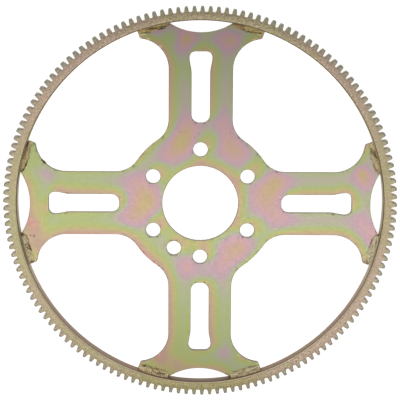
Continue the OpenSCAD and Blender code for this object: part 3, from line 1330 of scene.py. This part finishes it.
@dataclass
class WeldBead:
    """One fillet weld, laid as overlapping puddles in the corner between plate and ring."""

    number: int
    material: Material
    widths: Triple
    streaks: tuple[Streak, ...]
    spatter: tuple[Spatter, ...] = ()
    taper: float = 0.4
    taper_power: int = 5
    puddle_pitch: float = 1.6 * MM
    puddle_fill: Pair = (0.9, 0.93)
    wobble: float = 0.13
    lump_count: int = 26
    lump_places: Pair = (0.04, 0.96)
    lump_leans: Pair = (0.1, 1.45)
    lump_sizes: Pair = (0.6 * MM, 1.2 * MM)
    lump_stretch: Pair = (1.0, 2.4)
    lump_flat: float = 0.8
    lump_depth: float = 0.78
    voxel: float = 0.22 * MM
    soften_steps: int = 3
    soften_share: float = 0.5
    ripple: float = 0.35 * MM
    ripple_size: float = 1.4 * MM
    ripple_middle: float = 0.55
    crease_count: int = 12
    crease_starts: Pair = (1.0, 24.0)
    crease_margin: float = 0.8
    crease_lengths: Pair = (2.0, 6.0)
    crease_slope: float = 0.5
    crease_width: float = 0.2
    # Strength of the painted shade along each crease
    crease_shade: float = 0.4
    groove: float = 0.22 * MM
    relief_steps: int = 12
    relief_height: float = 0.3 * MM
    relief_middle: float = 0.45
    spatter_flat: float = 0.6
    smooth: float = 60.0

    def __post_init__(self) -> None:
        """Read the bead's place and size from its node."""
        self.node = f"weld_bead_{self.number}"
        places = points(frame["nodes"][self.node])
        radii = np.hypot(places[:, 0], places[:, 1])
        self.wall = float(radii.max())
        self.leg = self.wall - float(radii.min())
        self.base = float(places[:, 2].min())
        self.rise = float(places[:, 2].max()) - self.base
        middle = places.mean(axis=0)
        self.heading = math.atan2(middle[1], middle[0])
        self.reach = float(np.abs(self.turn(places)).max())
        self.way = 1 if self.number % 2 == 1 else -1
        self.random = np.random.default_rng(self.number)

    def turn(self, places: np.ndarray) -> np.ndarray:
        """Return the angle of each place from the bead's middle, counterclockwise."""
        turn = np.arctan2(places[:, 1], places[:, 0]) - self.heading
        return (turn + math.pi) % (2 * math.pi) - math.pi

    def drop(self, share: float, inward: float, up: float, size: Triple) -> Object:
        """Add one drop of weld metal.

        Args:
            share: Share of the bead's length, 0 at the relief and 1 at the horn's end.
            inward: Distance of its center from the ring's wall.
            up: Height of its center over the plate.
            size: Its half sizes across, along and up.

        Returns:
            The new drop.
        """
        angle = self.heading + self.way * self.reach * (2 * share - 1)
        radius = self.wall - inward
        place = (radius * math.cos(angle), radius * math.sin(angle), self.base + up)
        bpy.ops.mesh.primitive_ico_sphere_add(subdivisions=3, radius=1.0, location=place,
                                              rotation=(0.0, 0.0, angle))
        drop = bpy.context.active_object
        drop.scale = size
        return drop

    def size_at(self, share: float) -> Pair:
        """Work out how large the bead is along its length, less at the ends.

        Args:
            share: Share of the length.

        Returns:
            The width and the height there.
        """
        width = float(np.interp(share, (0.0, 0.5, 1.0), self.widths))
        taper = 1 - self.taper * abs(2 * share - 1) ** self.taper_power
        return self.leg * width * taper, self.rise * min(width, 1.0) * taper

    def build(self) -> Object:
        """Lay the puddles and lumps, melt them together and press them into the corner.

        Returns:
            The finished bead.
        """
        deselect()
        length = 2 * self.reach * self.wall
        count = round(length / self.puddle_pitch)
        wobbles = 1 + self.wobble * self.random.uniform(-1.0, 1.0, (count, 2))
        drops = []
        for step, wobble in enumerate(wobbles):
            share = (step + 0.5) / count
            width, height = np.multiply(self.size_at(share), self.puddle_fill)
            size = (width * wobble[0], self.puddle_pitch, height * min(1.0, wobble[1]))
            drops.append(self.drop(share, 0.0, 0.0, size))
        low, high = zip(self.lump_places, self.lump_leans, self.lump_sizes, self.lump_stretch)
        for _ in range(self.lump_count):
            share, lean, size, stretch = self.random.uniform(low, high)
            width, height = np.multiply(self.size_at(share), self.lump_depth)
            drops.append(self.drop(share, width * math.sin(lean), height * math.cos(lean),
                                   (size, size * stretch, self.lump_flat * size)))
        bead = self.join(drops, f"weld_{self.number}")
        self.melt(bead)
        self.score(bead)
        self.press(bead)
        if self.spatter:
            bead = self.join([bead, *(self.splash(droplet) for droplet in self.spatter)], bead.name)
        self.note_stains_and_light(bead)
        smooth_shading(bead, self.smooth)
        return bead

    def join(self, objects: list[Object], name: str) -> Object:
        """Join objects into the first of them, with their places in the mesh.

        Args:
            objects: The objects.
            name: Name of what they become.

        Returns:
            The joined object.
        """
        deselect()
        for obj in objects:
            obj.select_set(True)
        bpy.context.view_layer.objects.active = objects[0]
        bpy.ops.object.join()
        bpy.ops.object.transform_apply(location=True, rotation=True, scale=True)
        objects[0].name = name
        return objects[0]

    def splash(self, droplet: Spatter) -> Object:
        """Add a flat droplet that stuck to the plate, cut level with the plate's face.

        Args:
            droplet: Its place and size.

        Returns:
            The droplet.
        """
        deselect()
        bpy.ops.mesh.primitive_ico_sphere_add(subdivisions=3, radius=droplet.radius * MM,
                                              location=(droplet.x * MM, droplet.y * MM, self.base))
        splash = bpy.context.active_object
        splash.scale = (1.0, 1.0, self.spatter_flat)
        bpy.ops.object.transform_apply(location=True, rotation=False, scale=True)
        with edit_mode(splash):
            bpy.ops.mesh.bisect(plane_co=(0.0, 0.0, self.base), plane_no=(0.0, 0.0, -1.0),
                                clear_outer=True, use_fill=True)
        return splash

    def melt(self, bead: Object) -> None:
        """Fuse the drops into one skin, soften it and make it lumpy.

        Args:
            bead: The joined drops.
        """
        take(bead)
        fuse = bead.modifiers.new("fuse", "REMESH")
        fuse.mode = "VOXEL"
        fuse.voxel_size = self.voxel
        bpy.ops.object.modifier_apply(modifier=fuse.name)
        soften = bead.modifiers.new("soften", "SMOOTH")
        soften.factor = self.soften_share
        soften.iterations = self.soften_steps
        bpy.ops.object.modifier_apply(modifier=soften.name)
        texture = bpy.data.textures.new(f"ripples_{self.number}", "CLOUDS")
        texture.noise_scale = self.ripple_size
        texture.noise_depth = 2
        ripples = bead.modifiers.new("ripples", "DISPLACE")
        ripples.texture = texture
        ripples.strength = self.ripple
        ripples.mid_level = self.ripple_middle
        bpy.ops.object.modifier_apply(modifier=ripples.name)

    def lie(self, places: np.ndarray) -> tuple[np.ndarray, np.ndarray]:
        """Return how far places lie along the bead and across it from the ring, in millimetres."""
        along = (self.way * self.turn(places) + self.reach) * self.wall / MM
        return along, (self.wall - np.hypot(places[:, 0], places[:, 1])) / MM

    def score(self, bead: Object) -> None:
        """Draw thin creases at random, mostly along the bead, sink them into its skin and paint shade along
        them.

        Args:
            bead: The fused bead.
        """
        across = (self.crease_margin, self.leg / MM - self.crease_margin)
        slopes = (-self.crease_slope, self.crease_slope)
        low, high = zip(self.crease_starts, across, self.crease_lengths, slopes)
        creases = []
        for along, across, length, slope in self.random.uniform(low, high, (self.crease_count, 4)):
            end = (along + length, across + slope * length)
            # Each crease gets a dark streak of painted shade along its groove
            creases.append(Streak(StainAndPaintedLight.DARK, (along, across), end, self.crease_width, self.crease_shade))
        self.streaks = (*self.streaks, *creases)
        places = points(bead)
        depth = np.clip(2 * sum(crease.over(*self.lie(places)) for crease in creases), 0.0, 1.0)
        normals = read(bead.data.vertex_normals, "vector", 3)
        set_points(bead, places - self.groove * depth[:, None] * normals)

    def press(self, bead: Object) -> None:
        """Keep the bead inside the ring's wall, over the plate and within its own length.

        Args:
            bead: The scored bead.
        """
        places = points(bead)
        angle = self.heading + np.clip(self.turn(places), -self.reach, self.reach)
        radius = np.minimum(np.hypot(places[:, 0], places[:, 1]), self.wall)
        places[:, 0] = radius * np.cos(angle)
        places[:, 1] = radius * np.sin(angle)
        places[:, 2] = np.maximum(places[:, 2], self.base)
        set_points(bead, places)

    def note_stains_and_light(self, bead: Object) -> None:
        """Keep for each vertex whether it is a crest or a crease, and how much of each streak colour it has,
        painted shade and highlights included.

        Args:
            bead: The pressed bead, with its spatter.
        """
        places = points(bead)
        ends = read(bead.data.edges, "vertices", 2, int)
        first, second = ends.T
        near = np.bincount(ends.ravel(), minlength=len(places))[:, None]
        smooth = places.copy()
        for _ in range(self.relief_steps):
            total = np.zeros_like(smooth)
            np.add.at(total, first, smooth[second])
            np.add.at(total, second, smooth[first])
            smooth = total / np.maximum(near, 1)
        height = ((places - smooth) * read(bead.data.vertex_normals, "vector", 3)).sum(axis=1)
        # The relief marks the hollows where the weld's finish paints shade
        store(bead, "relief", np.clip(self.relief_middle + height / self.relief_height, 0.0, 1.0))
        along, across = self.lie(places)
        for stain_and_light in StainAndPaintedLight:
            shares = [streak.over(along, across) for streak in self.streaks if streak.stain_and_light is stain_and_light]
            shares += [droplet.over(places) for droplet in self.spatter if droplet.stain_and_light is stain_and_light]
            store(bead, stain_and_light.value, np.clip(sum(shares, np.zeros(len(places))), 0.0, 1.0))

    def dress(self, bead: Object) -> None:
        """Give the bead its finish and enlist it."""
        enlist(bead, self.node, self.material)


def weld_beads(material: Material) -> list[WeldBead]:
    """List the eight beads, each with its own widths, streaks and spatter.

    Args:
        material: The welds' finish.

    Returns:
        The beads by number, odd ones on the counterclockwise side of their arm.
    """
    # Dark streaks along the ring's wall, 0.2 mm across, and over a bead's two ends are painted shade; pale
    # washes lighten whole beads as painted light; the other pale streaks are partly pale metal and partly
    # painted highlight; the remaining streaks are the metal's own colours
    dark, rust, pale, olive = StainAndPaintedLight.DARK, StainAndPaintedLight.RUST, StainAndPaintedLight.PALE_AND_HIGHLIGHT, StainAndPaintedLight.OLIVE
    return [
        WeldBead(1, material, (0.75, 0.85, 0.95), (
            wash(olive, 0.8),
            Streak(dark, (0, 1.5), (7, 2.5), 0.9, 0.5),
            Streak(dark, (4, 3.8), (10, 4.2), 0.5),
            Streak(rust, (8, 2.0), (19, 0.6), 0.6, 0.6),
            Streak(dark, (10, 2.4), (16, 1.4), 0.4),
            Streak(dark, (17, 4.0), (24, 2.6), 0.4, 0.7),
            Streak(pale, (20, 4.8), (26, 3.4), 0.6, 0.7),
        )),
        WeldBead(2, material, (0.80, 0.90, 0.90), (
            wash(olive, 0.8),
            Streak(rust, (0, 0.2), (9, 0.4), 0.5),
            Streak(rust, (1, 2.0), (8, 2.2), 0.9, 0.5),
            Streak(pale, (-0.5, 2.6), (0.5, 3.0), 0.6, 0.7),
            Streak(dark, (6, 4.4), (11, 4.6), 0.6),
            Streak(dark, (11, 4.4), (24, 2.4), 0.4, 0.8),
            Streak(pale, (20, 4.8), (26, 4.0), 0.7, 0.8),
        )),
        WeldBead(3, material, (0.90, 1.00, 0.95), (
            wash(pale, 0.45),
            Streak(dark, (0, 0.2), (26, 0.2), 0.3, 0.7),
            Streak(dark, (0, 1.2), (0.5, 1.6), 0.7, 0.8),
            Streak(pale, (2, 2.6), (8, 2.6), 0.8, 0.45),
            Streak(rust, (8, 4.2), (9, 1.8), 0.4),
            Streak(rust, (9, 4.8), (16, 5.2), 0.4, 0.8),
            Streak(dark, (11, 2.8), (14, 4.4), 0.35, 0.6),
            Streak(dark, (24.6, 3.0), (25.6, 5.4), 0.6),
        ), (
            Spatter(-139.4, -28.1, 0.7, rust),
            Spatter(-142.3, -27.8, 0.55, rust),
            Spatter(-143.9, -31.4, 0.4, rust),
            Spatter(-145.4, -27.5, 0.5, dark),
        )),
        WeldBead(4, material, (0.75, 0.90, 0.85), (
            wash(olive, 0.15),
            Streak(dark, (0, 1.0), (2, 2.4), 0.8, 0.8),
            Streak(dark, (3, 3.6), (12, 4.8), 0.45),
            Streak(dark, (15, 4.4), (24, 4.6), 0.4, 0.5),
            Streak(rust, (12, 1.0), (26, 0.8), 0.8, 0.8),
            Streak(dark, (22, 0.2), (26, 0.2), 0.5),
            Streak(pale, (24, 3.0), (25, 3.4), 0.6, 0.6),
        ), (
            Spatter(-131.5, 36.0, 0.9, dark),
            Spatter(-130.4, 34.9, 1.1, dark),
            Spatter(-129.0, 34.0, 0.8, dark),
        )),
        WeldBead(5, material, (0.95, 1.00, 1.00), (
            wash(pale, 0.3),
            Streak(pale, (1.5, 3.0), (5.5, 3.0), 0.8, 0.6),
            Streak(pale, (15, 3.4), (20, 4.2), 0.7, 0.7),
            Streak(pale, (11, 0.8), (12, 0.9), 0.4, 0.7),
            Streak(rust, (7, 2.4), (14, 3.2), 0.9, 0.4),
            Streak(dark, (17, 5.2), (24, 4.6), 0.4, 0.7),
            Streak(dark, (20, 2.0), (24, 3.0), 0.4, 0.6),
        )),
        WeldBead(6, material, (1.00, 1.05, 1.00), (
            Streak(pale, (0, 2.0), (2.5, 4.2), 0.9, 0.7),
            Streak(dark, (4, 2.4), (8, 2.8), 0.6, 0.7),
            Streak(pale, (8, 3.8), (17, 3.4), 0.4, 0.4),
            Streak(dark, (2, 5.6), (18, 5.8), 0.35, 0.5),
            Streak(dark, (20, 5.8), (22.5, 4.8), 0.5, 0.8),
            Streak(pale, (23.5, 4.6), (25, 4.4), 0.5, 0.8),
        )),
        WeldBead(7, material, (0.85, 1.00, 0.95), (
            Streak(dark, (0, 1.4), (3, 2.4), 0.8, 0.5),
            Streak(rust, (2, 4.0), (9, 5.4), 0.4),
            Streak(dark, (9, 5.6), (10, 5.8), 0.5),
            Streak(dark, (14, 1.2), (22, 3.0), 0.5, 0.8),
            Streak(rust, (12, 0.6), (20, 1.4), 0.6, 0.6),
            Streak(pale, (10, 3.4), (14, 4.2), 0.7, 0.35),
        )),
        WeldBead(8, material, (0.95, 1.10, 1.05), (
            wash(pale, 0.75),
            Streak(pale, (1, 1.6), (4, 3.4), 0.8, 0.6),
            Streak(rust, (4, 4.6), (12, 6.0), 0.4, 0.8),
            Streak(dark, (8, 3.2), (13, 4.0), 0.3, 0.5),
            Streak(dark, (14, 2.4), (17, 4.4), 0.3, 0.4),
            Streak(pale, (19, 5.2), (23, 5.4), 0.7, 0.6),
            Streak(dark, (24.6, 3.6), (25.8, 5.6), 0.7),
        )),
    ]


# Studio


@dataclass(frozen=True)
class PhotoCamera:
    """Camera at the photograph's viewing angle, over the front face and a little towards +Y."""

    tilt: float = 9.616
    pan: float = 0.192
    roll: float = -0.311
    distance: float = 1.1794
    lens: float = 126.90
    shift: Pair = (-0.0005, 0.0090)

    def build(self, front: float) -> None:
        """Place the camera and make it the scene's.

        Args:
            front: Height of the plate's front face.
        """
        turn = (Matrix.Rotation(math.radians(self.tilt), 3, "X")
                @ Matrix.Rotation(math.radians(self.pan), 3, "Y")
                @ Matrix.Rotation(math.radians(self.roll), 3, "Z"))
        back = turn.transposed()
        place = back @ Vector((0.0, 0.0, self.distance)) + Vector((0.0, 0.0, front))
        bpy.ops.object.camera_add(location=place, rotation=back.to_euler())
        camera = bpy.context.active_object
        camera.data.lens = self.lens
        camera.data.shift_x, camera.data.shift_y = self.shift
        camera.data.dof.use_dof = False
        bpy.context.scene.camera = camera


@dataclass(frozen=True)
class Softbox:
    """A rectangular studio light that faces the middle of the part."""

    place: Triple
    size: Pair
    power: float

    def build(self) -> None:
        """Add the light."""
        aim = (-Vector(self.place)).to_track_quat("-Z", "Y").to_euler()
        bpy.ops.object.light_add(type="AREA", location=self.place, rotation=aim)
        lamp = bpy.context.active_object.data
        lamp.shape = "RECTANGLE"
        lamp.size, lamp.size_y = self.size
        lamp.energy = self.power


@dataclass(frozen=True)
class Studio:
    """White floor, even sky light and softboxes."""

    sky: float = 0.33
    sky_from: float = 0.75
    horizon: float = 1.0
    floor_size: float = 6.0
    floor_gap: float = 0.2 * MM
    boxes: tuple[Softbox, ...] = (
        Softbox(place=(-0.012, -0.313, 1.5), size=(2.4, 0.26), power=4.85),
        Softbox(place=(-1.2, 0.9, 1.4), size=(0.8, 0.8), power=2.5),
    )

    def build(self) -> None:
        """Set the sky, lay the floor and add the lights."""
        scene = bpy.context.scene
        scene.view_settings.view_transform = "Standard"
        world = bpy.data.worlds.new("studio_sky")
        world.use_nodes = True
        sheet = Sheet(world.node_tree)
        background = sheet.add("ShaderNodeBackground")
        height = sheet.parts(sheet.add("ShaderNodeTexCoord").outputs["Generated"])[2]
        strength = sheet.ease(height, 0.0, self.sky_from, self.horizon, self.sky)
        sheet.put(background.inputs["Strength"], strength)
        sheet.put(sheet.add("ShaderNodeOutputWorld").inputs["Surface"], background.outputs[0])
        scene.world = world
        lowest = min(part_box(node)[0].z for node in frame["nodes"])
        deselect()
        bpy.ops.mesh.primitive_plane_add(size=self.floor_size, location=(0.0, 0.0, lowest - self.floor_gap))
        floor = bpy.context.active_object
        floor.name = "floor"
        bpy.ops.object.transform_apply(location=True)
        floor.data.materials.append(FloorFinish().build())
        for box in self.boxes:
            box.build()


def main() -> None:
    """Build the pieces in order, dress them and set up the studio."""
    logging.basicConfig(level=logging.INFO, format="%(name)s: %(message)s")
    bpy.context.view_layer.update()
    effects = Effects()
    plate = CenterPlate(PlateFinish(effects))
    ring = RingGear(RingFinish(effects))
    beads = weld_beads(WeldFinish(effects).build())
    for piece in (plate, ring, *beads):
        obj = piece.build()
        piece.dress(obj)
        LOG.info("%s: %d faces", obj.name, len(obj.data.polygons))
    Studio().build()
    PhotoCamera().build(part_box("center_plate")[1].z)


if __name__ == "__main__":
    main()
